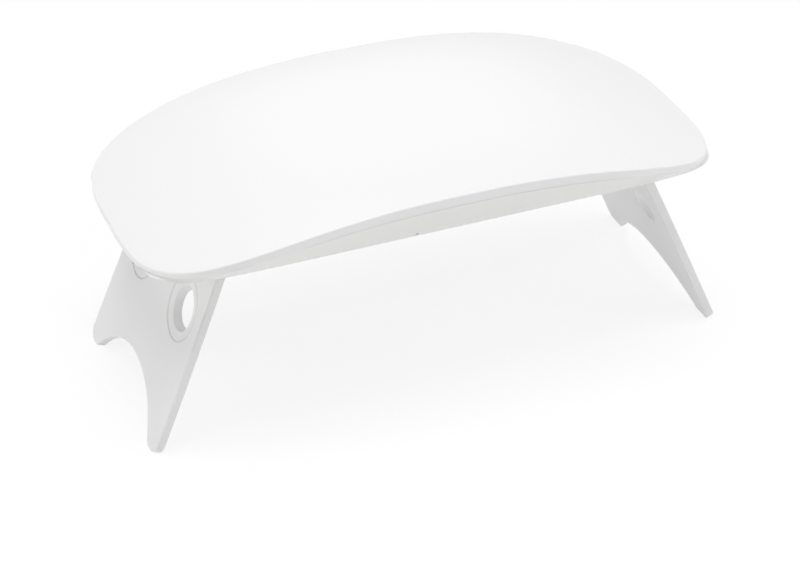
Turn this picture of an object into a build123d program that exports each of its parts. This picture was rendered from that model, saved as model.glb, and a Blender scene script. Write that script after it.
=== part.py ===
from build123d import *
import math
import os

os.makedirs("parts", exist_ok=True)

# Driving dimensions, in millimetres. X runs along the lamp, -Y is its front side, and Z = 0 is the
# surface that the feet stand on.

# Body, seen from above: a lozenge with rounded corners, |x/a|^p + |y/b|^q = 1
body_half_length = 67.5
body_half_width = 36.0
body_end_power = 4.89
body_side_power = 3.45

# Crown of the top cover
crown_height = 59.44
crown_end_drop = 14.24
crown_end_power = 2.515
crown_side_drop = 4.0
crown_side_power = 2.5

# Underside of the casing: flat, and narrower than the rim, so the walls lean in
underside_height = 43.8
underside_half_length = 66.2
underside_half_width = 29.6
underside_end_power = 10.3
underside_side_power = 6.7

# The cover's edge band ends at the seam, deeper at mid length than at the ends
band_mid = 2.3
band_end = 1.15
seam_gap = 0.15
cover_wall = 1.6
casing_wall = 1.5
casing_end_x = 66.0
end_lip_gap = 0.05
shoulder_softness = 1.0
section_top = 53.4

# Casing floors and the recess that the legs fold into
end_floor_top = 45.1
recess_half_width = 26.2
recess_ceiling = 47.0
main_floor_top = 48.0
recess_end_wall = 1.5
lip_gap = 0.1
knuckle_pocket_y = 22.2
floor_block_half_width = 29.0
window_length = 78.0
window_width = 40.0
window_corner = 2.0

# Legs: flat plates that splay outward from hinge pins, with the hinge line in the outer face
hinge_x = 49.05
hinge_height = 44.8
leg_splay = 23.5
leg_thickness = 2.0
leg_end_above_hinge = 0.6
leg_top_half_width = 23.2
leg_mid_half_width = 24.8
leg_foot_half_width = 25.6
foot_inner_y = 20.2
arch_rise = 10.6
foot_outer_radius = 3.0
foot_inner_radius = 2.0
knuckle_radius = 1.0
knuckle_inner_y = 22.4
knuckle_outer_y = 25.9
knuckle_room = 0.15
pin_radius = 0.5
pin_inner_y = 23.0
pin_outer_y = 27.8
pin_clearance = 0.05
pin_end_room = 0.15
pin_chamfer = 0.1
leg_hole_radius = 4.2
leg_mouth_radius = 5.15
leg_dish_radius = 7.3
leg_dish_depth = 0.35
dish_edge_depth = 0.08
dish_bow = 0.06
ring_groove_width = 0.5
ring_groove_depth = 0.4
leg_hole_y = 13.5
leg_hole_rise = 30.6
leg_stop_gap = 0.04
leg_edge_radius = 0.35
cut_margin = 1.0

# Electronics
panel_length = 82.0
panel_width = 44.0
panel_thickness = 0.5
panel_corner = 2.0
panel_hole_radius = 3.4
board_length = 92.0
board_width = 42.0
board_bottom = 49.1
board_thickness = 1.0
board_tab_length = 28.0
board_tab_end = 31.4
led_size = 4.6
led_height = 0.9
lens_radius = 2.3
lens_skirt = 0.6
lens_tip = 46.0
led_mark = 0.6
lead_rise = 0.2
lead_width = 0.4
lead_reach = 1.0
chip_chamfer = 0.15
timer_chip_place = (-8.0, 9.0)
timer_chip_length = 4.9
timer_chip_width = 3.9
timer_chip_height = 1.4
timer_chip_leads = 4
driver_chip_place = (14.0, 9.0)
driver_chip_length = 2.9
driver_chip_width = 1.7
driver_chip_height = 1.0
driver_chip_leads = 3
inductor_place = (22.0, -3.0)
inductor_size = 5.0
inductor_height = 2.4
inductor_corner = 1.0
inductor_dish_radius = 1.7
inductor_dish_depth = 0.3
resistor_length = 1.6
resistor_width = 0.8
resistor_height = 0.45
resistor_columns = 5
capacitor_places = [(0.0, 22.0), (16.5, 3.0), (22.0, 5.0), (-14.0, 9.0)]
capacitor_length = 2.0
capacitor_width = 1.25
capacitor_height = 0.9

# Inlet and button in the rear side
inlet_x = 8.0
inlet_width = 7.5
inlet_height = 2.5
inlet_depth = 5.0
inlet_mouth_y = 33.2
inlet_sheet = 0.3
inlet_corner = 0.8
tongue_set_back = 0.9
inlet_opening_width = 8.2
tongue_width = 3.7
tongue_thickness = 0.7
button_x = -8.0
button_width = 5.2
button_bottom = 50.3
button_top = 52.6
button_proud = 0.35
button_side_gap = 0.06
button_edge_radius = 0.3
button_flange_width = 7.6
button_flange_y = 31.3
button_flange_thickness = 0.9
opening_height = 6.0
opening_corner = 0.5
opening_drop = 0.25
inlet_back_y = 30.0
opening_reach = 8.0
switch_length = 6.0
switch_depth = 3.4
switch_height = 3.0
switch_front_y = 30.4
plunger_radius = 0.8
plunger_clearance = 0.05
plunger_room = 0.5
plunger_back_y = 29.6
plunger_height = 51.45

# Screws
case_screw_x = 58.0
case_screw_y = 18.0
case_boss_radius = 2.3
case_boss_top = 45.8
case_screw_radius = 0.9
case_head_radius = 1.8
case_head_height = 0.8
case_screw_tip = 47.7
board_screw_x = 43.6
board_screw_y = 12.0
board_boss_radius = 2.0
board_screw_radius = 0.8
board_head_radius = 1.6
board_head_height = 0.8
board_screw_tip = 47.5
screw_end_room = 0.2
screw_side_gap = 0.1
head_side_gap = 0.15
head_sink = 0.1
head_chamfer = 0.2
cross_length = 1.9
cross_width = 0.45
cross_depth = 0.4

# Small blind pinhole low in the front wall
pinhole_x = -8.5
pinhole_height = 44.6
pinhole_radius = 0.3
pinhole_floor_y = 29.4
pinhole_reach = 3.0

# Worked out from the values above
board_top = board_bottom + board_thickness
splay = math.radians(leg_splay)
leg_reach = hinge_height / math.cos(splay)
hole_drop = leg_reach - leg_hole_rise
led_x = hinge_x - hole_drop
case_seat = underside_height + case_head_height + head_sink
lip_top = hinge_height - lip_gap
lip_x = hinge_x + (hinge_height - underside_height) * math.tan(splay) + leg_stop_gap
recess_half_length = hinge_x + knuckle_radius + knuckle_room

# Counts of points for the outline and for the height surfaces, and how far the cutters reach
outline_points = 72
surface_rows = 25
surface_columns = 45
surface_margin = 3.0
cutter_reach = 25.0


def reach(x, y, half_x, half_y, end_power, side_power):
    """Factor that moves a point along its ray from the middle onto the rounded lozenge."""
    low, high = 0.5, 1.7
    for _ in range(40):
        factor = (low + high) / 2
        along = abs(factor * x / half_x) ** end_power
        across = abs(factor * y / half_y) ** side_power
        if along + across > 1:
            high = factor
        else:
            low = factor
    return factor


def outline_point(angle, half_x, half_y, end_power, side_power):
    x = half_x * math.cos(angle)
    y = half_y * math.sin(angle)
    factor = reach(x, y, half_x, half_y, end_power, side_power)
    return factor * x, factor * y


def outline_angles():
    return [2 * math.pi * step / outline_points for step in range(outline_points)]


def body_outline(inset):
    return [
        outline_point(
            angle,
            body_half_length - inset,
            body_half_width - inset,
            body_end_power,
            body_side_power,
        )
        for angle in outline_angles()
    ]


def crown(x, y):
    """Height of the cover's outer surface."""
    end_part = crown_end_drop * abs(x / body_half_length) ** crown_end_power
    side_part = crown_side_drop * abs(y / body_half_width) ** crown_side_power
    return crown_height - end_part - side_part


def seam(x, y):
    """Height of the seam between cover and casing."""
    return crown(x, y) - band_mid + (band_mid - band_end) * (x / body_half_length) ** 2


def side_section(height, inset):
    """Section of the leaning side walls at one height, on straight lines from underside to seam."""
    points = []
    for angle in outline_angles():
        x, y = outline_point(
            angle,
            underside_half_length - inset,
            underside_half_width - inset,
            underside_end_power,
            underside_side_power,
        )
        rim_factor = reach(
            x,
            y,
            body_half_length - inset,
            body_half_width - inset,
            body_end_power,
            body_side_power,
        )
        rise = math.hypot(seam(rim_factor * x, rim_factor * y) - underside_height, shoulder_softness)
        factor = 1 + (rim_factor - 1) * (height - underside_height) / rise
        points.append((factor * x, factor * y))
    return points


def height_surface(height):
    """Spline surface through a grid of points of a height formula, wider than the body."""
    half_x = body_half_length + surface_margin
    half_y = body_half_width + surface_margin
    grid = []
    for row in range(surface_rows):
        y = half_y * (2 * row / (surface_rows - 1) - 1)
        columns = [half_x * (2 * column / (surface_columns - 1) - 1) for column in range(surface_columns)]
        grid.append([Vector(x, y, height(x, y)) for x in columns])
    return Face.make_surface_from_array_of_points(grid, tol=0.003, min_deg=3, max_deg=5)


def finish(piece, name):
    piece.part.label = name
    export_step(piece.part, f"parts/{name}.step")


# Blocks of space above and below the crown, the seam and the cover's inner surface
above_crown = extrude(height_surface(crown), amount=cutter_reach, dir=(0, 0, 1))
below_seam = extrude(height_surface(seam), amount=cutter_reach, dir=(0, 0, -1))
above_seam = extrude(
    height_surface(lambda x, y: seam(x, y) - seam_gap), amount=cutter_reach, dir=(0, 0, 1)
)
below_inside = extrude(
    height_surface(lambda x, y: crown(x, y) - cover_wall), amount=cutter_reach, dir=(0, 0, -1)
)
between_ends = Box(
    2 * (casing_end_x + end_lip_gap),
    2 * (body_half_width + surface_margin),
    2 * (crown_height + cut_margin),
)
seam_space = below_seam & between_ends

case_screw_places = [
    (sx * case_screw_x, sy * case_screw_y) for sx in (-1, 1) for sy in (-1, 1)
]
board_screw_places = [
    (sx * board_screw_x, sy * board_screw_y) for sx in (-1, 1) for sy in (-1, 1)
]
led_places = [(x, y) for x in (-led_x, 0, led_x) for y in (-leg_hole_y, leg_hole_y)]

# Inside of the cover between the end walls: the wall thickness below the crown
with BuildPart() as cover_inside:
    with BuildSketch(Plane.XY.offset(underside_height - cut_margin)):
        with BuildLine():
            Spline(*body_outline(casing_wall), periodic=True)
        make_face()
    extrude(amount=crown_height - underside_height)
    add(below_inside, mode=Mode.INTERSECT)
    add(between_ends, mode=Mode.INTERSECT)

# Top cover: a thin moulded crown with its own edge band, which closes the ends down to the underside
with BuildPart() as top_cover:
    with BuildSketch(Plane.XY.offset(underside_height)):
        with BuildLine():
            Spline(*body_outline(0), periodic=True)
        make_face()
    extrude(amount=crown_height - underside_height + cut_margin)
    add(above_crown, mode=Mode.SUBTRACT)
    add(seam_space, mode=Mode.SUBTRACT)
    add(cover_inside.part, mode=Mode.SUBTRACT)
    with BuildSketch(Plane.XY.offset(case_boss_top)):
        with Locations(*case_screw_places):
            Circle(case_boss_radius)
    extrude(amount=case_screw_tip - case_boss_top)
    with BuildSketch(Plane.XY.offset(case_boss_top)):
        with Locations(*case_screw_places):
            Circle(case_screw_radius)
    extrude(amount=case_screw_tip + screw_end_room - case_boss_top, mode=Mode.SUBTRACT)
finish(top_cover, "top_cover")

# Lower casing: walls that lean out from a flat underside to the seam, with the legs' recess below
# and a raised floor over it that carries the electronics
with BuildPart() as lower_casing:
    for height in (underside_height, section_top):
        with BuildSketch(Plane.XY.offset(height)):
            with BuildLine():
                Spline(*side_section(height, 0), periodic=True)
            make_face()
    loft(ruled=True)
    with BuildSketch(Plane.XY.offset(underside_height - cut_margin)):
        Rectangle(2 * casing_end_x, 2 * (body_half_width + surface_margin))
    extrude(amount=section_top - underside_height + 2 * cut_margin, mode=Mode.INTERSECT)
    add(above_seam, mode=Mode.SUBTRACT)
    for height in (end_floor_top, section_top):
        with BuildSketch(Plane.XY.offset(height)):
            with BuildLine():
                Spline(*side_section(height, casing_wall), periodic=True)
            make_face()
    loft(ruled=True, mode=Mode.SUBTRACT)
    with BuildSketch(Plane.XY.offset(underside_height)):
        Rectangle(2 * (recess_half_length + recess_end_wall), 2 * floor_block_half_width)
    extrude(amount=main_floor_top - underside_height)
    with BuildSketch(Plane.XY.offset(end_floor_top)):
        with Locations(*case_screw_places):
            Circle(case_boss_radius)
    extrude(amount=case_boss_top - end_floor_top)
    with BuildSketch(Plane.XY.offset(main_floor_top)):
        with Locations(*board_screw_places):
            Circle(board_boss_radius)
    extrude(amount=board_bottom - main_floor_top)
    # recess for the folded legs: a lip at each end stops the open leg, with a pocket on both sides
    # of it for the hinge knuckles
    with BuildSketch(Plane.XY.offset(recess_ceiling)):
        Rectangle(2 * recess_half_length, 2 * recess_half_width)
    extrude(amount=lip_top - recess_ceiling, mode=Mode.SUBTRACT)
    with BuildSketch(Plane.XY.offset(lip_top)):
        Rectangle(2 * lip_x, 2 * recess_half_width)
        with Locations((0, (recess_half_width + knuckle_pocket_y) / 2)):
            Rectangle(2 * recess_half_length, recess_half_width - knuckle_pocket_y)
        with Locations((0, -(recess_half_width + knuckle_pocket_y) / 2)):
            Rectangle(2 * recess_half_length, recess_half_width - knuckle_pocket_y)
    extrude(amount=underside_height - lip_top, mode=Mode.SUBTRACT)
    # window for the light
    with BuildSketch(Plane.XY.offset(recess_ceiling)):
        RectangleRounded(window_length, window_width, window_corner)
    extrude(amount=main_floor_top - recess_ceiling, mode=Mode.SUBTRACT)
    # blind holes that the hinge pins turn in
    for side in (-1, 1):
        with BuildSketch(Plane.XZ.offset(-side * recess_half_width)):
            with Locations((-hinge_x, hinge_height), (hinge_x, hinge_height)):
                Circle(pin_radius + pin_clearance)
        extrude(amount=-side * (pin_outer_y + pin_end_room - recess_half_width), mode=Mode.SUBTRACT)
    # screw holes
    with BuildSketch(Plane.XY.offset(underside_height)):
        with Locations(*case_screw_places):
            Circle(case_screw_radius + screw_side_gap)
    extrude(amount=case_boss_top - underside_height, mode=Mode.SUBTRACT)
    with BuildSketch(Plane.XY.offset(underside_height)):
        with Locations(*case_screw_places):
            Circle(case_head_radius + head_side_gap)
    extrude(amount=case_head_height + head_sink, mode=Mode.SUBTRACT)
    with BuildSketch(Plane.XY.offset(board_bottom)):
        with Locations(*board_screw_places):
            Circle(board_screw_radius)
    extrude(amount=board_screw_tip - screw_end_room - board_bottom, mode=Mode.SUBTRACT)
    # openings in the rear wall for the supply inlet and the button, closed above by the cover
    with BuildSketch(Plane.XZ.offset(-inlet_back_y)):
        with Locations((inlet_x, board_top + opening_height / 2 - opening_drop)):
            RectangleRounded(inlet_opening_width, opening_height, opening_corner)
        with Locations((button_x, button_bottom - button_side_gap + opening_height / 2)):
            RectangleRounded(button_width + 2 * button_side_gap, opening_height, opening_corner)
    extrude(amount=-opening_reach, mode=Mode.SUBTRACT)
    # small blind pinhole in the front wall
    with BuildSketch(Plane.XZ.offset(pinhole_floor_y)):
        with Locations((pinhole_x, pinhole_height)):
            Circle(pinhole_radius)
    extrude(amount=pinhole_reach, mode=Mode.SUBTRACT)
finish(lower_casing, "lower_casing")


def leg_plane(side):
    """Outer face of an open leg: origin on the hinge, local y up the leg, local z outward."""
    return Plane(
        origin=(side * hinge_x, 0, hinge_height),
        x_dir=(0, side, 0),
        z_dir=(side * math.cos(splay), 0, math.sin(splay)),
    )


groove_inner_radius = leg_dish_radius - ring_groove_width / 2
groove_outer_radius = leg_dish_radius + ring_groove_width / 2
dish_middle = (
    (groove_inner_radius + leg_mouth_radius) / 2,
    dish_bow - (dish_edge_depth + leg_dish_depth) / 2,
)

for side, word in ((-1, "left"), (1, "right")):
    plane = leg_plane(side)
    # Leg: a moulded plate with a hinge knuckle at each upper corner, an arch between its feet, and
    # two tapered round holes, each in a shallow dish with a fine groove round it on the outer face
    with BuildPart() as leg:
        with BuildSketch(plane.offset(-leg_thickness)):
            with BuildLine():
                Polyline(
                    (-leg_top_half_width, 0),
                    (-leg_top_half_width, leg_end_above_hinge),
                    (leg_top_half_width, leg_end_above_hinge),
                    (leg_top_half_width, 0),
                )
                ThreePointArc(
                    (leg_top_half_width, 0),
                    (leg_mid_half_width, -leg_reach / 2),
                    (leg_foot_half_width, -leg_reach),
                )
                Line((leg_foot_half_width, -leg_reach), (foot_inner_y, -leg_reach))
                ThreePointArc(
                    (foot_inner_y, -leg_reach),
                    (0, arch_rise - leg_reach),
                    (-foot_inner_y, -leg_reach),
                )
                Line((-foot_inner_y, -leg_reach), (-leg_foot_half_width, -leg_reach))
                ThreePointArc(
                    (-leg_foot_half_width, -leg_reach),
                    (-leg_mid_half_width, -leg_reach / 2),
                    (-leg_top_half_width, 0),
                )
            make_face()
            foot_corners = vertices().group_by(Axis.Y)[0].sort_by(Axis.X)
            fillet(foot_corners[::3], foot_outer_radius)
            foot_corners = vertices().group_by(Axis.Y)[0].sort_by(Axis.X)
            fillet(foot_corners[1:3], foot_inner_radius)
        extrude(amount=leg_thickness)
        rims = edges().group_by(Axis(plane.origin, plane.z_dir))
        fillet(rims[0] + rims[-1], leg_edge_radius)
        for end in (-1, 1):
            with BuildSketch(Plane.XZ.offset(end * knuckle_inner_y)):
                with Locations((side * hinge_x, hinge_height)):
                    Circle(knuckle_radius)
            extrude(amount=end * (knuckle_outer_y - knuckle_inner_y))
            with BuildSketch(Plane.XZ.offset(end * knuckle_outer_y)):
                with Locations((side * hinge_x, hinge_height)):
                    Circle(pin_radius)
            extrude(amount=end * (pin_inner_y - knuckle_outer_y), mode=Mode.SUBTRACT)
        for across in (-leg_hole_y, leg_hole_y):
            centre = plane.from_local_coords((across, -hole_drop, 0))
            with BuildSketch(Plane(origin=centre, x_dir=plane.x_dir, z_dir=-plane.y_dir)):
                with BuildLine():
                    Polyline(
                        (leg_mouth_radius, -leg_dish_depth),
                        (leg_hole_radius, -leg_thickness),
                        (leg_hole_radius, -leg_thickness - cut_margin),
                        (0, -leg_thickness - cut_margin),
                        (0, cut_margin),
                        (groove_outer_radius, cut_margin),
                        (groove_outer_radius, 0),
                        (leg_dish_radius, -ring_groove_depth),
                        (groove_inner_radius, -dish_edge_depth),
                    )
                    ThreePointArc(
                        (groove_inner_radius, -dish_edge_depth),
                        dish_middle,
                        (leg_mouth_radius, -leg_dish_depth),
                    )
                make_face()
            revolve(axis=Axis(centre, plane.z_dir), mode=Mode.SUBTRACT)
        split(bisect_by=Plane.XY, keep=Keep.TOP)
    finish(leg, f"{word}_leg")

    # Hinge pins: two short steel pins, fixed in the leg's knuckles and turning in the casing
    with BuildPart() as hinge_pins:
        for end in (-1, 1):
            with BuildSketch(Plane.XZ.offset(end * pin_inner_y)):
                with Locations((side * hinge_x, hinge_height)):
                    Circle(pin_radius)
            extrude(amount=end * (pin_outer_y - pin_inner_y))
        chamfer(edges().filter_by(GeomType.CIRCLE).group_by(Axis.Y)[0], pin_chamfer)
        chamfer(edges().filter_by(GeomType.CIRCLE).group_by(Axis.Y)[-1], pin_chamfer)
    finish(hinge_pins, f"{word}_hinge_pins")

# Reflector panel: bright sheet over the window, with a round hole for each emitter
with BuildPart() as reflector_panel:
    with BuildSketch(Plane.XY.offset(main_floor_top)):
        RectangleRounded(panel_length, panel_width, panel_corner)
        with Locations(*led_places):
            Circle(panel_hole_radius, mode=Mode.SUBTRACT)
    extrude(amount=panel_thickness)
finish(reflector_panel, "reflector_panel")

# Circuit board: one plate over the window, with a tab that reaches the rear wall
with BuildPart() as circuit_board:
    with BuildSketch(Plane.XY.offset(board_bottom)):
        RectangleRounded(board_length, board_width, panel_corner)
        with Locations((0, board_tab_end / 2)):
            Rectangle(board_tab_length, board_tab_end)
        with Locations(*board_screw_places):
            Circle(board_screw_radius + screw_side_gap, mode=Mode.SUBTRACT)
    extrude(amount=board_thickness)
finish(circuit_board, "circuit_board")

# Light emitters: a square package under the board and a clear dome on it
led_floor = board_bottom - led_height
dome_rise = led_floor - lens_skirt - lens_tip
dome_radius = (lens_radius**2 + dome_rise**2) / (2 * dome_rise)
dome_centre = lens_tip + dome_radius
dome_middle = math.asin(lens_radius / dome_radius) / 2
for number, (x, y) in enumerate(led_places, 1):
    with BuildPart() as uv_led:
        with BuildSketch(Plane.XY.offset(led_floor)):
            with Locations((x, y)):
                Rectangle(led_size, led_size)
        extrude(amount=led_height)
        chamfer(edges().filter_by(Axis.Z).sort_by(SortBy.DISTANCE)[0], led_mark)
    finish(uv_led, f"uv_led_{number}")

    with BuildPart() as uv_lens:
        with BuildSketch(Plane(origin=(x, y, 0), x_dir=(1, 0, 0), z_dir=(0, -1, 0))):
            with BuildLine():
                Polyline(
                    (0, lens_tip),
                    (0, led_floor),
                    (lens_radius, led_floor),
                    (lens_radius, led_floor - lens_skirt),
                )
                ThreePointArc(
                    (lens_radius, led_floor - lens_skirt),
                    (dome_radius * math.sin(dome_middle), dome_centre - dome_radius * math.cos(dome_middle)),
                    (0, lens_tip),
                )
            make_face()
        revolve(axis=Axis((x, y, 0), (0, 0, 1)))
    finish(uv_lens, f"uv_lens_{number}")


def leaded_chip(place, length, width, height, leads):
    """Flat black package on the board's top with small legs along two sides."""
    x, y = place
    with BuildPart() as chip:
        with BuildSketch(Plane.XY.offset(board_top + lead_rise)):
            with Locations((x, y)):
                Rectangle(length, width)
        extrude(amount=height)
        chamfer(faces().sort_by(Axis.Z)[-1].edges(), chip_chamfer)
        with BuildSketch(Plane.XY.offset(board_top)):
            with Locations((x, y)):
                with GridLocations(length / leads, 1, leads, 1):
                    Rectangle(lead_width, width + 2 * lead_reach)
        extrude(amount=lead_rise)
    return chip


finish(
    leaded_chip(
        timer_chip_place,
        timer_chip_length,
        timer_chip_width,
        timer_chip_height,
        timer_chip_leads,
    ),
    "timer_chip",
)
finish(
    leaded_chip(
        driver_chip_place,
        driver_chip_length,
        driver_chip_width,
        driver_chip_height,
        driver_chip_leads,
    ),
    "driver_chip",
)

# Power inductor: square ferrite block with rounded corners and a shallow round recess on top
with BuildPart() as power_inductor:
    with BuildSketch(Plane.XY.offset(board_top)):
        with Locations(inductor_place):
            RectangleRounded(inductor_size, inductor_size, inductor_corner)
    extrude(amount=inductor_height)
    with BuildSketch(Plane.XY.offset(board_top + inductor_height)):
        with Locations(inductor_place):
            Circle(inductor_dish_radius)
    extrude(amount=-inductor_dish_depth, mode=Mode.SUBTRACT)
finish(power_inductor, "power_inductor")

# Chip resistors: one ballast row along each emitter line
with BuildPart() as chip_resistors:
    with BuildSketch(Plane.XY.offset(board_top)):
        with GridLocations(led_x / 2, 2 * leg_hole_y, resistor_columns, 2):
            Rectangle(resistor_length, resistor_width)
    extrude(amount=resistor_height)
finish(chip_resistors, "chip_resistors")

# Chip capacitors beside the supply inlet and the driver
with BuildPart() as chip_capacitors:
    with BuildSketch(Plane.XY.offset(board_top)):
        with Locations(*capacitor_places):
            Rectangle(capacitor_length, capacitor_width)
    extrude(amount=capacitor_height)
finish(chip_capacitors, "chip_capacitors")

# Supply inlet: a folded metal shell with a plastic contact tongue
with BuildPart() as micro_usb_shell:
    with BuildSketch(Plane.XZ.offset(-inlet_mouth_y)):
        with Locations((inlet_x, board_top + inlet_height / 2)):
            RectangleRounded(inlet_width, inlet_height, inlet_corner)
    extrude(amount=inlet_depth)
    with BuildSketch(Plane.XZ.offset(-inlet_mouth_y)):
        with Locations((inlet_x, board_top + inlet_height / 2)):
            RectangleRounded(
                inlet_width - 2 * inlet_sheet,
                inlet_height - 2 * inlet_sheet,
                inlet_corner - inlet_sheet,
            )
    extrude(amount=inlet_depth - inlet_sheet, mode=Mode.SUBTRACT)
finish(micro_usb_shell, "micro_usb_shell")

# Contact tongue: a flat blade that stands on the inlet's back wall
with BuildPart() as micro_usb_tongue:
    with BuildSketch(Plane.XZ.offset(inlet_depth - inlet_sheet - inlet_mouth_y)):
        with Locations((inlet_x, board_top + inlet_height / 2)):
            Rectangle(tongue_width, tongue_thickness)
    extrude(amount=-(inlet_depth - inlet_sheet - tongue_set_back))
finish(micro_usb_tongue, "micro_usb_tongue")

# Side push switch on the board behind the button
with BuildPart() as switch_body:
    with BuildSketch(Plane.XY.offset(board_top)):
        with Locations((button_x, switch_front_y - switch_depth / 2)):
            Rectangle(switch_length, switch_depth)
    extrude(amount=switch_height)
    with BuildSketch(Plane.XZ.offset(-switch_front_y)):
        with Locations((button_x, plunger_height)):
            Circle(plunger_radius + plunger_clearance)
    extrude(amount=switch_front_y - plunger_back_y + plunger_room, mode=Mode.SUBTRACT)
finish(switch_body, "switch_body")

# Plunger: a short round stud between the switch and the button
with BuildPart() as switch_plunger:
    with BuildSketch(Plane.XZ.offset(-button_flange_y)):
        with Locations((button_x, plunger_height)):
            Circle(plunger_radius)
    extrude(amount=button_flange_y - plunger_back_y)
finish(switch_plunger, "switch_plunger")


def wall_y(height):
    """Distance of the rear wall's outer face from the middle at mid length."""
    rim_y = body_half_width
    rise = math.hypot(seam(0, rim_y) - underside_height, shoulder_softness)
    share = (height - underside_height) / rise
    return underside_half_width + share * (rim_y - underside_half_width)


# Timer button: a moulded key that stands a little proud of the wall, with a flange inside it
with BuildPart() as timer_button:
    with BuildSketch(Plane.YZ.offset(button_x - button_width / 2)):
        with BuildLine():
            Polyline(
                (button_flange_y, button_bottom),
                (wall_y(button_bottom) + button_proud, button_bottom),
                (wall_y(button_top) + button_proud, button_top),
                (button_flange_y, button_top),
                close=True,
            )
        make_face()
    extrude(amount=button_width)
    fillet(edges().filter_by(Axis.Y), opening_corner - button_side_gap)
    front = faces().sort_by(Axis.Y)[-1]
    fillet(front.edges(), button_edge_radius)
    with BuildSketch(Plane.XZ.offset(-button_flange_y)):
        with Locations((button_x, (button_bottom + button_top) / 2)):
            Rectangle(button_flange_width, button_top - button_bottom)
    extrude(amount=-button_flange_thickness)
finish(timer_button, "timer_button")

# Screws: self-tapping, with a cross in the head
with BuildPart() as casing_screws:
    with BuildSketch(Plane.XY.offset(case_seat)):
        with Locations(*case_screw_places):
            Circle(case_screw_radius)
    extrude(amount=case_screw_tip - case_seat)
    with BuildSketch(Plane.XY.offset(case_seat)):
        with Locations(*case_screw_places):
            Circle(case_head_radius)
    extrude(amount=-case_head_height)
    chamfer(edges().filter_by(GeomType.CIRCLE).group_by(Axis.Z)[0], head_chamfer)
    with BuildSketch(Plane.XY.offset(case_seat - case_head_height)):
        with Locations(*case_screw_places):
            Rectangle(cross_length, cross_width)
            Rectangle(cross_width, cross_length)
    extrude(amount=cross_depth, mode=Mode.SUBTRACT)
finish(casing_screws, "casing_screws")

# Board screws: the same kind, shorter and thinner, with the heads on the board
with BuildPart() as board_screws:
    with BuildSketch(Plane.XY.offset(board_top)):
        with Locations(*board_screw_places):
            Circle(board_screw_radius)
    extrude(amount=board_screw_tip - board_top)
    with BuildSketch(Plane.XY.offset(board_top)):
        with Locations(*board_screw_places):
            Circle(board_head_radius)
    extrude(amount=board_head_height)
    with BuildSketch(Plane.XY.offset(board_top + board_head_height)):
        with Locations(*board_screw_places):
            Rectangle(cross_length, cross_width)
            Rectangle(cross_width, cross_length)
    extrude(amount=-cross_depth, mode=Mode.SUBTRACT)
finish(board_screws, "board_screws")
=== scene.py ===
import math

import bmesh
import bpy
from mathutils import Euler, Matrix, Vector


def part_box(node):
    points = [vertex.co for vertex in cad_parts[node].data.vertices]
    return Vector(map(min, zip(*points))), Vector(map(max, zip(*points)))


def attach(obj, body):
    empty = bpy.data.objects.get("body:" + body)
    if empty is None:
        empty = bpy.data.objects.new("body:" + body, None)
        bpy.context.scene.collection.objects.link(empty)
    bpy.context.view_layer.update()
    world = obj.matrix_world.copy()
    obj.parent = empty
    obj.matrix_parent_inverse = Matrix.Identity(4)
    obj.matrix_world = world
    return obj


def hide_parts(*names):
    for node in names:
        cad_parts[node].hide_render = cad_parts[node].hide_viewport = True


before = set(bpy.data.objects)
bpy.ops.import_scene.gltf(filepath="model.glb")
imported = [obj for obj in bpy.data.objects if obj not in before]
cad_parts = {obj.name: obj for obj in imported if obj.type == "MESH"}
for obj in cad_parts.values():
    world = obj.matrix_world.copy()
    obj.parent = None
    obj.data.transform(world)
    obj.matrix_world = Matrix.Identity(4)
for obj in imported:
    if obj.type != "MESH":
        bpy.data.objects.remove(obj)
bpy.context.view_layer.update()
scene = bpy.context.scene
scene.view_settings.view_transform = "Standard"


# Camera: it looks down on the lamp's front left corner from about half a metre. The lens is
# worked out from the part of the picture that the lamp's length fills.
MM = 0.001
view_heading = math.radians(21.352)
view_dip = math.radians(33.276)
view_roll = math.radians(-0.919)
view_distance = 493.565 * MM
view_target = Vector((-8.19, -18.88, 24.2)) * MM
sensor_width = 36.0
lens_length = 100.96
nearest_shown = 10 * MM

camera_data = bpy.data.cameras.new("camera")
camera_data.sensor_width = sensor_width
camera_data.lens = lens_length
camera_data.clip_start = nearest_shown
camera = bpy.data.objects.new("camera", camera_data)
scene.collection.objects.link(camera)
turn = Euler((math.pi / 2 - view_dip, 0, -view_heading)).to_matrix()
roll = Euler((0, 0, view_roll)).to_matrix()
look = turn @ Vector((0, 0, -1))
camera.matrix_world = (turn @ roll).to_4x4()
camera.location = view_target - view_distance * look
scene.camera = camera


# Table and studio light: a white table in a bright tent, a broad lamp above and weaker ones all
# round, of which only the rear one shows in the gloss. The table's lit share carries the soft
# shadows of the object and its feet. Seen from below the table is clear.
table_half = 4.0
table_grey = 0.80
table_faint_glow = 0.18
table_lit_share = 0.195
table_shown_glow = 0.82
tent_light = 0.04
tent_shown = 1.0


def place(tree, kind, settings=None, inputs=None):
    """Shader node of one kind, with its settings and with values or links on its sockets."""
    made = tree.nodes.new("ShaderNode" + kind)
    for name, value in (settings or {}).items():
        setattr(made, name, value)
    for name, value in (inputs or {}).items():
        if isinstance(value, bpy.types.NodeSocket):
            tree.links.new(value, made.inputs[name])
        else:
            made.inputs[name].default_value = value
    return made


def maths(tree, operation, *values):
    """Result of one Math node on numbers or sockets."""
    return place(tree, "Math", {"operation": operation}, dict(enumerate(values))).outputs[0]


def shader_of(tree, kind, **inputs):
    """Shader of a plain kind with values on its sockets."""
    return place(tree, kind, None, inputs).outputs[0]


def shader_sum(tree, first, second):
    return place(tree, "AddShader", None, {0: first, 1: second}).outputs[0]


def shader_choice(tree, share, first, second):
    """The first shader where the share is zero, the second where it is one."""
    return place(tree, "MixShader", None, {0: share, 1: first, 2: second}).outputs[0]


def grey(level):
    return (level, level, level, 1)


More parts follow.
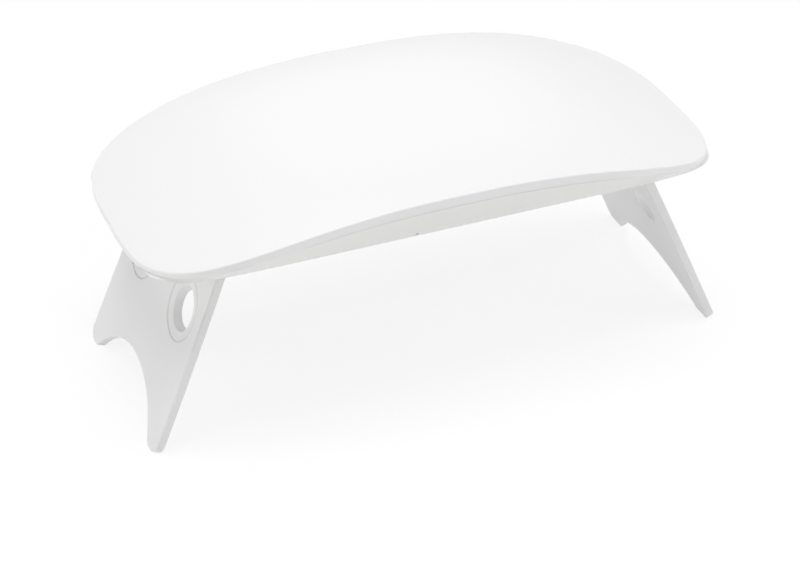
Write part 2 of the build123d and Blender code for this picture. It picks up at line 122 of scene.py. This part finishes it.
def new_material(name):
    """Material with an empty tree and its output node."""
    material = bpy.data.materials.new(name)
    material.use_nodes = True
    material.node_tree.nodes.clear()
    output = material.node_tree.nodes.new("ShaderNodeOutputMaterial")
    return material, material.node_tree, output


def seen_directly(tree):
    """One for rays that come from the camera, a gloss or a clear solid, else zero."""
    path = place(tree, "LightPath").outputs
    seen = maths(tree, "MAXIMUM", path["Is Camera Ray"], path["Is Glossy Ray"])
    return maths(tree, "MAXIMUM", seen, path["Is Transmission Ray"])


table_mesh = bpy.data.meshes.new("table_top")
corner_signs = ((-1, -1), (1, -1), (1, 1), (-1, 1))
table_corners = [(x * table_half, y * table_half, 0) for x, y in corner_signs]
table_mesh.from_pydata(table_corners, [], [(0, 1, 2, 3)])
table_top = bpy.data.objects.new("table_top", table_mesh)
scene.collection.objects.link(table_top)

table_material, tree, output = new_material("table_white")
plain = shader_of(tree, "BsdfDiffuse", Color=grey(table_grey))
faint = shader_of(tree, "Emission", Strength=table_faint_glow)
lit = shader_of(tree, "BsdfDiffuse", Color=grey(table_lit_share))
glow = shader_of(tree, "Emission", Strength=table_shown_glow)
bounce = shader_sum(tree, plain, faint)
shown = shader_sum(tree, lit, glow)
upper_side = shader_choice(tree, seen_directly(tree), bounce, shown)
from_below = place(tree, "NewGeometry").outputs["Backfacing"]
clear = shader_of(tree, "BsdfTransparent")
one_sided = shader_choice(tree, from_below, upper_side, clear)
tree.links.new(one_sided, output.inputs["Surface"])
table_mesh.materials.append(table_material)

tent = bpy.data.worlds.new("tent")
scene.world = tent
tent.use_nodes = True
tree = tent.node_tree
tree.nodes.clear()
dim = shader_of(tree, "Background", Color=grey(1), Strength=tent_light)
bright = shader_of(tree, "Background", Color=grey(1), Strength=tent_shown)
tent_walls = shader_choice(tree, seen_directly(tree), dim, bright)
place(tree, "OutputWorld", None, {"Surface": tent_walls})

lamp_aim = Vector((0, 0, 0.03))


def soft_lamp(name, spot, size, watts):
    """Round lamp of one width in metres, aimed at the object. It leaves no shine of its own."""
    data = bpy.data.lights.new(name, "AREA")
    data.shape = "DISK"
    data.size = size
    data.energy = watts
    lamp = bpy.data.objects.new(name, data)
    lamp.location = spot
    lamp.rotation_euler = (lamp_aim - Vector(spot)).to_track_quat("-Z", "Y").to_euler()
    lamp.visible_glossy = False
    scene.collection.objects.link(lamp)
    return lamp


soft_lamp("top_lamp", (0.0, 0.0, 1.1), 0.9, 8.0)
soft_lamp("front_lamp", (0.0, -1.0, 0.6), 0.8, 2.6)
soft_lamp("right_lamp", (0.9, -0.4, 0.7), 0.8, 3.4)
soft_lamp("rear_left_lamp", (-0.9, 0.35, 0.25), 0.4, 1.95)
soft_lamp("left_lamp", (-0.9, -0.1, 0.7), 0.8, 1.9)
rear_lamp = soft_lamp("rear_lamp", (0.36, 0.93, 0.66), 0.8, 0.6)
rear_lamp.visible_glossy = True


# Lower casing: one injection moulding in white plastic with leaning walls, the recess for the
# legs and the window for the light. It comes out of a lightly polished mould, so its faces have
# a faint grain and slow changes of gloss.
cloud_scale = 26.0
flow_scale = (30.0, 160.0, 160.0)
pit_share = 0.5
noise_middle = 0.5
coarse_detail = 3.0
fine_detail = 2.0


def effect_group(name, inputs, outputs):
    """Empty node group with named sockets; values that start as a tuple are colours."""
    group = bpy.data.node_groups.new(name, "ShaderNodeTree")
    for label, start in inputs.items():
        kind = "NodeSocketColor" if isinstance(start, tuple) else "NodeSocketFloat"
        socket = group.interface.new_socket(label, in_out="INPUT", socket_type=kind)
        socket.default_value = start
    for label in outputs:
        kind = "NodeSocketColor" if label == "Color" else "NodeSocketFloat"
        group.interface.new_socket(label, in_out="OUTPUT", socket_type=kind)
    given = group.nodes.new("NodeGroupInput").outputs
    return group, given, group.nodes.new("NodeGroupOutput").inputs


def noise_on(tree, spot, scale, detail):
    inputs = {"Vector": spot, "Scale": scale, "Detail": detail}
    return place(tree, "TexNoise", None, inputs).outputs["Fac"]


def spread_about(tree, middle, spread, noise):
    """The middle value, moved up and down by the noise."""
    swing = maths(tree, "ADD", noise, -noise_middle)
    return maths(tree, "ADD", middle, maths(tree, "MULTIPLY", spread, swing))


def tint(tree, colour, factor):
    """A colour made lighter or darker by a factor that changes over the surface."""
    inputs = {0: colour, "Scale": factor}
    return place(tree, "VectorMath", {"operation": "SCALE"}, inputs).outputs[0]


moulded_skin, given, put_out = effect_group(
    "moulded_skin",
    {"Colour": grey(0.9), "Drift": 0.02, "Roughness": 0.3, "Spread": 0.1, "Grain": 2200.0},
    ("Color", "Roughness", "Height"),
)
tree = moulded_skin
spot = place(tree, "TexCoord").outputs["Object"]
clouds = noise_on(tree, spot, cloud_scale, coarse_detail)
flow = place(tree, "Mapping", None, {"Vector": spot, "Scale": flow_scale}).outputs[0]
flow_marks = noise_on(tree, flow, 1.0, fine_detail)
grain = noise_on(tree, spot, given["Grain"], fine_detail)
cells = place(tree, "TexVoronoi", {"feature": "F1"}, {"Vector": spot, "Scale": given["Grain"]})
pits = cells.outputs["Distance"]
lightness = spread_about(tree, 1.0, given["Drift"], clouds)
gloss = spread_about(tree, given["Roughness"], given["Spread"], clouds)
gloss = spread_about(tree, gloss, given["Spread"], flow_marks)
height = maths(tree, "ADD", grain, maths(tree, "MULTIPLY", pits, pit_share))
tree.links.new(tint(tree, given["Colour"], lightness), put_out["Color"])
tree.links.new(gloss, put_out["Roughness"])
tree.links.new(height, put_out["Height"])


def finish_from(name, group, values, relief_depth, shader_values):
    """Material whose colour, roughness and fine relief come from one effect group."""
    material, tree, output = new_material(name)
    skin = tree.nodes.new("ShaderNodeGroup")
    skin.node_tree = group
    for label, value in values.items():
        skin.inputs[label].default_value = value
    relief = place(tree, "Bump", None, {"Distance": relief_depth, "Height": skin.outputs["Height"]})
    shader = place(
        tree,
        "BsdfPrincipled",
        None,
        {
            "Base Color": skin.outputs["Color"],
            "Roughness": skin.outputs["Roughness"],
            "Normal": relief.outputs["Normal"],
            **shader_values,
        },
    )
    tree.links.new(shader.outputs[0], output.inputs["Surface"])
    return material, tree, shader, skin


def moulded(name, colour, drift, roughness, spread, grain, relief, shader_values=None):
    """Moulded material: slow drifts of its lightness and gloss, and a fine grain."""
    values = {
        "Colour": colour,
        "Drift": drift,
        "Roughness": roughness,
        "Spread": spread,
        "Grain": grain,
    }
    return finish_from(name, moulded_skin, values, relief, shader_values or {})


def dress(material, *names):
    """Give carried-over nodes of the frame their finished material."""
    for name in names:
        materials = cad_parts[name].data.materials
        materials.clear()
        materials.append(material)


casing_white = moulded(
    "casing_white",
    (0.835, 0.838, 0.82, 1),
    drift=0.02,
    roughness=0.40,
    spread=0.08,
    grain=2400.0,
    relief=0.006 * MM,
)[0]
dress(casing_white, "lower_casing")


# Reflector panel: a thin sheet of bright rolled aluminium over the window. It is punched for the
# six emitters, and its faces keep the fine parallel lines of the rolls.
smear_scale = 180.0
smear_tint = 0.10

rolled_metal, given, put_out = effect_group(
    "rolled_metal",
    {"Colour": grey(0.7), "Roughness": 0.25, "Spread": 0.15, "Along": 60.0, "Across": 4000.0},
    ("Color", "Roughness", "Height"),
)
tree = rolled_metal
spot = place(tree, "TexCoord").outputs["Object"]
scales = {0: given["Along"], 1: given["Across"], 2: given["Across"]}
stretch = place(tree, "CombineXYZ", None, scales).outputs[0]
lined = place(tree, "VectorMath", {"operation": "MULTIPLY"}, {0: spot, 1: stretch}).outputs[0]
lines = noise_on(tree, lined, 1.0, coarse_detail)
smears = noise_on(tree, spot, smear_scale, coarse_detail)
lightness = spread_about(tree, 1.0, smear_tint, smears)
gloss = spread_about(tree, given["Roughness"], given["Spread"], lines)
gloss = spread_about(tree, gloss, given["Spread"], smears)
tree.links.new(tint(tree, given["Colour"], lightness), put_out["Color"])
tree.links.new(gloss, put_out["Roughness"])
tree.links.new(lines, put_out["Height"])


def rolled(name, colour, roughness, spread, along, across, relief):
    """Rolled, drawn or plated metal, with lines of one scale along X and one across it."""
    values = {
        "Colour": colour,
        "Roughness": roughness,
        "Spread": spread,
        "Along": along,
        "Across": across,
    }
    return finish_from(name, rolled_metal, values, relief, {"Metallic": 1.0})[0]


reflector_silver = rolled(
    "reflector_silver",
    (0.86, 0.87, 0.88, 1),
    roughness=0.17,
    spread=0.07,
    along=40.0,
    across=3500.0,
    relief=0.004 * MM,
)
dress(reflector_silver, "reflector_panel")


# Circuit board: glass fibre plate with a white solder mask. Under the mask the copper tracks
# show as a faint relief, and the fibre weave as a fine one.
track_half_width = 0.35 * MM
track_softness = 0.3
track_length = 11.0 * MM
track_pitch = 3.2 * MM
track_shift = 0.35
track_green = (0.72, 0.80, 0.70, 1)
track_tint = 0.25
weave_share = 0.15


def mask_near(tree, value, edge, softness):
    """One where the value is under the edge, zero where it is over it."""
    inputs = {"Value": value, "From Min": edge + softness, "From Max": edge - softness}
    settings = {"interpolation_type": "SMOOTHSTEP"}
    return place(tree, "MapRange", settings, inputs).outputs["Result"]


def mixed(tree, share, first, second, blend="MIX"):
    """The first colour, turned into the second or tinted by it where the share is one."""
    inputs = {0: share, 1: first, 2: second}
    return place(tree, "MixRGB", {"blend_type": blend}, inputs).outputs[0]


board_white, tree, shader, skin = moulded(
    "board_white",
    (0.84, 0.86, 0.83, 1),
    drift=0.03,
    roughness=0.42,
    spread=0.08,
    grain=1500.0,
    relief=0.03 * MM,
    shader_values={"Specular IOR Level": 0.45},
)
tracks = place(
    tree,
    "TexBrick",
    {"offset": track_shift},
    {
        "Vector": place(tree, "TexCoord").outputs["Object"],
        "Scale": 1.0,
        "Mortar Size": track_half_width,
        "Mortar Smooth": track_softness,
        "Brick Width": track_length,
        "Row Height": track_pitch,
    },
).outputs["Fac"]
track_share = maths(tree, "MULTIPLY", tracks, track_tint)
board_colour = mixed(tree, track_share, skin.outputs["Color"], track_green, "MULTIPLY")
tree.links.new(board_colour, shader.inputs["Base Color"])
weave = maths(tree, "MULTIPLY", skin.outputs["Height"], weave_share)
relief = shader.inputs["Normal"].links[0].from_node
tree.links.new(maths(tree, "ADD", weave, tracks), relief.inputs["Height"])
dress(board_white, "circuit_board")


# Emitters: six ceramic packages soldered under the board, each with a square violet die on a
# gold ring in its middle, and each under a clear silicone dome that is moulded onto it. Light
# that lights the package passes the dome without bending.
emitters = range(1, 7)
led_boxes = [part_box("uv_led_%d" % number) for number in emitters]
led_middles = [(low + high) / 2 for low, high in led_boxes]
led_pitch = max(middle.x for middle in led_middles)
led_row = max(middle.y for middle in led_middles)
die_half = 0.62 * MM
die_violet = (0.26, 0.17, 0.60, 1)
gold_radius = 1.55 * MM
gold_colour = (0.90, 0.68, 0.32, 1)
gold_shine = 0.3
edge_softness = 0.04 * MM

led_ceramic, tree, shader, skin = moulded(
    "led_ceramic",
    (0.86, 0.85, 0.80, 1),
    drift=0.05,
    roughness=0.55,
    spread=0.10,
    grain=5000.0,
    relief=0.01 * MM,
)
spot = place(tree, "TexCoord").outputs["Object"]
axes = place(tree, "SeparateXYZ", None, {0: spot}).outputs
from_column = maths(tree, "WRAP", axes["X"], led_pitch / 2, -led_pitch / 2)
from_row = maths(tree, "ADD", maths(tree, "ABSOLUTE", axes["Y"]), -led_row)
flat_spot = place(tree, "CombineXYZ", None, {0: from_column, 1: from_row}).outputs[0]
radius = place(tree, "VectorMath", {"operation": "LENGTH"}, {0: flat_spot}).outputs["Value"]
column_reach = maths(tree, "ABSOLUTE", from_column)
row_reach = maths(tree, "ABSOLUTE", from_row)
square = maths(tree, "MAXIMUM", column_reach, row_reach)
gold_mask = mask_near(tree, radius, gold_radius, edge_softness)
die_mask = mask_near(tree, square, die_half, edge_softness)
package_colour = mixed(tree, gold_mask, skin.outputs["Color"], gold_colour)
package_colour = mixed(tree, die_mask, package_colour, die_violet)
gold_only = maths(tree, "SUBTRACT", gold_mask, die_mask)
tree.links.new(package_colour, shader.inputs["Base Color"])
tree.links.new(maths(tree, "MULTIPLY", gold_only, gold_shine), shader.inputs["Metallic"])
dress(led_ceramic, *["uv_led_%d" % number for number in emitters])

lens_clear, tree, shader, _ = moulded(
    "lens_clear",
    (0.97, 0.98, 1.0, 1),
    drift=0.01,
    roughness=0.04,
    spread=0.03,
    grain=1800.0,
    relief=0.002 * MM,
    shader_values={"Transmission Weight": 1.0, "IOR": 1.41},
)
path = place(tree, "LightPath").outputs
soft_light = maths(tree, "MAXIMUM", path["Is Shadow Ray"], path["Is Diffuse Ray"])
clear = shader_of(tree, "BsdfTransparent")
lens_surface = shader.outputs[0].links[0].to_socket
tree.links.new(shader_choice(tree, soft_light, shader.outputs[0], clear), lens_surface)
dress(lens_clear, *["uv_lens_%d" % number for number in emitters])


# Parts on the board: two black resin chips on tinned feet, a pressed ferrite inductor, chip
# resistors with tinned ends and tan ceramic capacitors, all reflow soldered.
board_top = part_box("circuit_board")[1].z
foot_top = board_top + 0.2 * MM
foot_softness = 0.02 * MM
tin_colour = (0.68, 0.68, 0.67, 1)
end_cosine = 0.7


def tin_where(tree, shader, skin, mask):
    """Turn the masked part of a material into tinned metal."""
    colour = mixed(tree, mask, skin.outputs["Color"], tin_colour)
    tree.links.new(colour, shader.inputs["Base Color"])
    tree.links.new(mask, shader.inputs["Metallic"])


def part_of(tree, coordinate, axis):
    """One axis of the place or of the normal on the piece."""
    source = place(tree, "TexCoord").outputs[coordinate]
    return place(tree, "SeparateXYZ", None, {0: source}).outputs[axis]


chip_black, tree, shader, skin = moulded(
    "chip_black",
    grey(0.028),
    drift=0.2,
    roughness=0.52,
    spread=0.12,
    grain=6000.0,
    relief=0.02 * MM,
    shader_values={"Specular IOR Level": 0.45},
)
feet = mask_near(tree, part_of(tree, "Object", "Z"), foot_top, foot_softness)
tin_where(tree, shader, skin, feet)
dress(chip_black, "timer_chip", "driver_chip")

ferrite_grey = moulded(
    "ferrite_grey",
    (0.115, 0.115, 0.125, 1),
    drift=0.25,
    roughness=0.62,
    spread=0.15,
    grain=3800.0,
    relief=0.05 * MM,
    shader_values={"Specular IOR Level": 0.4},
)[0]
dress(ferrite_grey, "power_inductor")

for name, colour, roughness, node_name in (
    ("resistor_black", grey(0.035), 0.40, "chip_resistors"),
    ("capacitor_tan", (0.47, 0.33, 0.20, 1), 0.48, "chip_capacitors"),
):
    material, tree, shader, skin = moulded(
        name,
        colour,
        drift=0.12,
        roughness=roughness,
        spread=0.10,
        grain=5000.0,
        relief=0.01 * MM,
    )
    along = maths(tree, "ABSOLUTE", part_of(tree, "Normal", "X"))
    tin_where(tree, shader, skin, maths(tree, "GREATER_THAN", along, end_cosine))
    dress(material, node_name)


# Supply inlet: a shell folded from plated sheet steel with slanted lower corners and a flared
# mouth, and in it a black blade with five gold contacts.
shell_low, shell_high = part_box("micro_usb_shell")
shell_sheet = 0.3 * MM
shell_flare = 0.22 * MM
shell_corner = 0.5 * MM
shell_slant = 0.9 * MM
shell_back_round = 0.05 * MM
flare_start = shell_high.y - 0.6 * MM
mouth_outer_roll = 0.15 * MM
mouth_outer_share = 0.7
mouth_face_share = 0.8
mouth_inner_roll = 0.2 * MM
mouth_inner_share = 0.6
corner_steps = 5
sharp_angle = math.radians(40.0)


def rounded_corner(before, corner, after):
    """Points of a round corner between two straight runs."""
    one = (before - corner).normalized() * shell_corner + corner
    other = (after - corner).normalized() * shell_corner + corner
    shares = [step / corner_steps for step in range(corner_steps + 1)]
    return [one.lerp(corner, t).lerp(corner.lerp(other, t), t) for t in shares]


def shell_ring(y, grow):
    """Closed outline of the shell's section at one depth, moved outward by a small distance."""
    middle = (shell_low.x + shell_high.x) / 2
    half = (shell_high.x - shell_low.x) / 2 + grow
    top = shell_high.z + grow
    bottom = shell_low.z - grow
    corners = [
        Vector((middle - half, top)),
        Vector((middle - half, bottom + shell_slant)),
        Vector((middle - half + shell_slant, bottom)),
        Vector((middle + half - shell_slant, bottom)),
        Vector((middle + half, bottom + shell_slant)),
        Vector((middle + half, top)),
    ]
    points = []
    for index, corner in enumerate(corners):
        after = corners[(index + 1) % len(corners)]
        points += rounded_corner(corners[index - 1], corner, after)
    return [Vector((x, y, z)) for x, z in points]


def join_rings(grid, one, other):
    """Band of four-sided faces between two closed rings of equally many vertices."""
    for index in range(len(one)):
        after = (index + 1) % len(one)
        grid.faces.new((one[index], one[after], other[after], other[index]))


def skin_of_rings(grid, rings):
    """Closed skin over equal rings of points, in their order, capped at both ends."""
    rows = [[grid.verts.new(point) for point in ring] for ring in rings]
    for one, other in zip(rows, rows[1:]):
        join_rings(grid, one, other)
    grid.faces.new(rows[0])
    grid.faces.new(rows[-1])


def mesh_object(name, grid):
    """Object from a bmesh, with its faces turned outward and its round parts shaded smooth."""
    bmesh.ops.recalc_face_normals(grid, faces=grid.faces)
    mesh = bpy.data.meshes.new(name)
    grid.to_mesh(mesh)
    grid.free()
    mesh.shade_smooth()
    mesh.set_sharp_from_angle(angle=sharp_angle)
    made = bpy.data.objects.new(name, mesh)
    scene.collection.objects.link(made)
    return made


grid = bmesh.new()
skin_of_rings(
    grid,
    [
        shell_ring(shell_low.y, -shell_back_round),
        shell_ring(shell_low.y + shell_back_round, 0),
        shell_ring(flare_start, 0),
        shell_ring(shell_high.y - mouth_outer_roll, shell_flare * mouth_outer_share),
        shell_ring(shell_high.y, shell_flare),
        shell_ring(shell_high.y, shell_flare - shell_sheet * mouth_face_share),
        shell_ring(shell_high.y - mouth_inner_roll, shell_flare * mouth_inner_share - shell_sheet),
        shell_ring(flare_start, -shell_sheet),
        shell_ring(shell_low.y + shell_sheet, -shell_sheet),
    ],
)
inlet_shell = mesh_object("inlet_shell", grid)
socket_steel = rolled(
    "socket_steel",
    (0.66, 0.66, 0.67, 1),
    roughness=0.37,
    spread=0.07,
    along=3000.0,
    across=260.0,
    relief=0.004 * MM,
)
inlet_shell.data.materials.append(socket_steel)
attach(inlet_shell, "housing")
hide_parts("micro_usb_shell")

contact_pitch = 0.65 * MM
contact_half = 0.17 * MM
contact_softness = 0.02 * MM
contact_gold = (0.83, 0.62, 0.28, 1)
tongue_black, tree, shader, skin = moulded(
    "tongue_black",
    grey(0.03),
    drift=0.1,
    roughness=0.45,
    spread=0.08,
    grain=5000.0,
    relief=0.01 * MM,
)
blade_middle = (shell_low.x + shell_high.x) / 2
from_middle = maths(tree, "ADD", part_of(tree, "Object", "X"), -blade_middle)
wrapped = maths(tree, "WRAP", from_middle, contact_pitch / 2, -contact_pitch / 2)
from_contact = maths(tree, "ABSOLUTE", wrapped)
contacts = mask_near(tree, from_contact, contact_half, contact_softness)
blade_colour = mixed(tree, contacts, skin.outputs["Color"], contact_gold)
tree.links.new(blade_colour, shader.inputs["Base Color"])
tree.links.new(contacts, shader.inputs["Metallic"])
dress(tongue_black, "micro_usb_tongue")


# Switch and timer button: a black side switch on the board with a white stud, and the polished
# white key that stands a little proud of the rear wall.
switch_black = moulded(
    "switch_black",
    grey(0.035),
    drift=0.12,
    roughness=0.40,
    spread=0.10,
    grain=4000.0,
    relief=0.01 * MM,
)[0]
dress(switch_black, "switch_body")

button_white = moulded(
    "button_white",
    (0.88, 0.88, 0.875, 1),
    drift=0.02,
    roughness=0.19,
    spread=0.05,
    grain=2600.0,
    relief=0.003 * MM,
)[0]
dress(button_white, "timer_button", "switch_plunger")


# Board screws: zinc plated self-tapping screws that hold the board down on its posts. The cross
# in each head is pressed, and the plating is a little cloudy.
screw_steel = rolled(
    "screw_steel",
    (0.56, 0.56, 0.57, 1),
    roughness=0.38,
    spread=0.08,
    along=900.0,
    across=900.0,
    relief=0.006 * MM,
)
dress(screw_steel, "board_screws")


# Top cover: a thin crowned shell in polished white plastic with its own edge band. It closes the
# two ends down to the underside, and four posts inside it take the casing screws. Its sizes are
# in millimetres.
body_half = (67.5, 36.0)
body_powers = (4.89, 3.45)
crown_height = 59.44
end_drop, end_power = 14.24, 2.515
side_drop, side_power = 4.0, 2.5
band_mid, band_end = 2.3, 1.15
underside = 43.8
lip_x = 66.05
wall = 1.5
roof = 1.6
rim_round = 0.3
seam_round = 0.08
post_x, post_y = 58.0, 18.0
post_radius, post_bore = 2.3, 0.9
post_foot, post_depth = 45.8, 47.7
post_lead_in = 0.2
post_root = 0.2
around = 288
crown_rings = 56
inner_step = 4
rim_shares = (0.2, 0.4, 0.6, 0.8, 1.0)
seam_shares = (0.0, 0.35, 0.7, 1.0)
post_sides = 32
halvings = 50
least_reach, most_reach = 0.5, 1.7
tiny = 0.0001


def on_outline(angle, inset):
    """Point of the lozenge outline, moved inward by the inset, on one ray from the middle."""
    half_x, half_y = body_half[0] - inset, body_half[1] - inset
    low, high = least_reach, most_reach
    for _ in range(halvings):
        factor = (low + high) / 2
        along = abs(factor * math.cos(angle)) ** body_powers[0]
        across = abs(factor * math.sin(angle)) ** body_powers[1]
        if along + across > 1:
            high = factor
        else:
            low = factor
    return Vector((factor * half_x * math.cos(angle), factor * half_y * math.sin(angle)))


def crown(spot):
    """Height of the cover's outer face."""
    end_part = end_drop * abs(spot.x / body_half[0]) ** end_power
    side_part = side_drop * abs(spot.y / body_half[1]) ** side_power
    return crown_height - end_part - side_part


def seam(spot):
    """Height of the seam between cover and casing."""
    return crown(spot) - band_mid + (band_mid - band_end) * (spot.x / body_half[0]) ** 2


def lip_angle():
    """Ray on which the outline crosses the inner plane of the end lip."""
    low, high = 0.0, math.pi / 2
    for _ in range(halvings):
        angle = (low + high) / 2
        if on_outline(angle, 0).x > lip_x:
            low = angle
        else:
            high = angle
    return angle


rays = [2 * math.pi * step / around for step in range(around)]
lip_ray = lip_angle()
for ray in (lip_ray, math.pi - lip_ray, math.pi + lip_ray, 2 * math.pi - lip_ray):
    closest = min(range(around), key=lambda index: abs(rays[index] - ray))
    rays[closest] = ray

grid = bmesh.new()


def is_lip(index):
    return abs(on_outline(rays[index], 0).x) >= lip_x - tiny


def ring_of(place_one):
    """Ring of vertices, one for each ray, placed by a function of the ray's index."""
    return [grid.verts.new(place_one(index) * MM) for index in range(around)]


def raised(spot, height):
    return Vector((spot.x, spot.y, height))


def bend(first, corner, last, share):
    """Point of a round edge between two faces that meet in a corner."""
    return first.lerp(corner, share).lerp(corner.lerp(last, share), share)


def rim_point(index, share):
    inner = on_outline(rays[index], rim_round)
    edge = on_outline(rays[index], 0)
    top = crown(edge)
    first = raised(inner, crown(inner))
    return bend(first, raised(edge, top), raised(edge, top - rim_round), share)


def seam_point(index, share):
    edge = on_outline(rays[index], 0)
    inner = edge if is_lip(index) else on_outline(rays[index], seam_round)
    foot = seam(edge)
    return bend(raised(edge, foot + seam_round), raised(edge, foot), raised(inner, foot), share)


def crown_point(index, share, inset, depth):
    spot = on_outline(rays[index], inset) * share
    return raised(spot, crown(spot) - depth)


def dome_share(step):
    """Share of the way to the rim, with rings that lie closer together towards it."""
    return math.sin(math.pi / 2 * step / crown_rings)


outer_middle = grid.verts.new(Vector((0, 0, crown_height)) * MM)
outer_rings = [
    ring_of(lambda index: crown_point(index, dome_share(step), rim_round, 0))
    for step in range(1, crown_rings + 1)
]
outer_rings += [ring_of(lambda index: rim_point(index, share)) for share in rim_shares]
outer_rings += [ring_of(lambda index: seam_point(index, share)) for share in seam_shares]
for index in range(around):
    after = (index + 1) % around
    grid.faces.new((outer_middle, outer_rings[0][index], outer_rings[0][after]))
for one, other in zip(outer_rings, outer_rings[1:]):
    join_rings(grid, one, other)
seam_ring = outer_rings[-1]


def foot_point(index):
    return raised(on_outline(rays[index], wall), seam(on_outline(rays[index], 0)))


inner_foot = ring_of(foot_point)
lips = {}
for index in filter(is_lip, range(around)):
    edge = on_outline(rays[index], 0)
    side = math.copysign(lip_x, edge.x)
    outer_low = Vector((edge.x, edge.y, underside))
    inner_low = Vector((side, edge.y, underside))
    inner_high = Vector((side, edge.y, seam(edge)))
    lips[index] = [grid.verts.new(point * MM) for point in (outer_low, inner_low, inner_high)]
for index in range(around):
    after = (index + 1) % around
    one = [seam_ring[index], *lips.get(index, ()), inner_foot[index]]
    other = [seam_ring[after], *lips.get(after, ()), inner_foot[after]]
    if len(one) != len(other):
        one = [one[0], one[-1]]
        other = [other[0], other[-1]]
    for step in range(len(one) - 1):
        grid.faces.new((one[step], other[step], other[step + 1], one[step + 1]))

inner_rings = [
    ring_of(lambda index: crown_point(index, dome_share(step), wall, roof))
    for step in range(crown_rings, 0, -inner_step)
]
for one, other in zip([inner_foot, *inner_rings], inner_rings):
    join_rings(grid, one, other)
inner_middle = grid.verts.new(Vector((0, 0, crown_height - roof)) * MM)
for index in range(around):
    after = (index + 1) % around
    grid.faces.new((inner_middle, inner_rings[-1][after], inner_rings[-1][index]))
bmesh.ops.remove_doubles(grid, verts=grid.verts, dist=tiny * MM)

post_places = [(x, y) for x in (-post_x, post_x) for y in (-post_y, post_y)]
post_rays = [2 * math.pi * step / post_sides for step in range(post_sides)]
for x, y in post_places:
    post_top = crown(Vector((x, y))) - roof + post_root
    profile = (
        (post_bore, post_depth),
        (post_bore, post_foot + post_lead_in),
        (post_bore + post_lead_in, post_foot),
        (post_radius, post_foot),
        (post_radius, post_top),
    )
    post_rings = [
        [Vector((x + r * math.cos(angle), y + r * math.sin(angle), z)) * MM for angle in post_rays]
        for r, z in profile
    ]
    skin_of_rings(grid, post_rings)

cover_shell = mesh_object("cover_shell", grid)
cover_gloss = moulded(
    "cover_gloss",
    (0.90, 0.90, 0.90, 1),
    drift=0.012,
    roughness=0.36,
    spread=0.05,
    grain=2600.0,
    relief=0.0025 * MM,
    shader_values={"Coat Weight": 0.2, "Coat Roughness": 0.12},
)[0]
cover_shell.data.materials.append(cover_gloss)
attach(cover_shell, "housing")
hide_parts("top_cover")


# Casing screws: the same zinc plated kind, longer and thicker. They are sunk in the underside's
# corners and turn into the cover's posts.
dress(screw_steel, "casing_screws")


# Legs: two flat mouldings in white plastic with a satin face, dished round holes and an arch
# between the feet. Each turns on two short drawn steel pins in its knuckles.
leg_white = moulded(
    "leg_white",
    (0.857, 0.857, 0.855, 1),
    drift=0.02,
    roughness=0.42,
    spread=0.08,
    grain=2000.0,
    relief=0.008 * MM,
)[0]
dress(leg_white, "left_leg", "right_leg")

pin_steel = rolled(
    "pin_steel",
    (0.60, 0.60, 0.61, 1),
    roughness=0.17,
    spread=0.07,
    along=4000.0,
    across=200.0,
    relief=0.003 * MM,
)
dress(pin_steel, "left_hinge_pins", "right_hinge_pins")
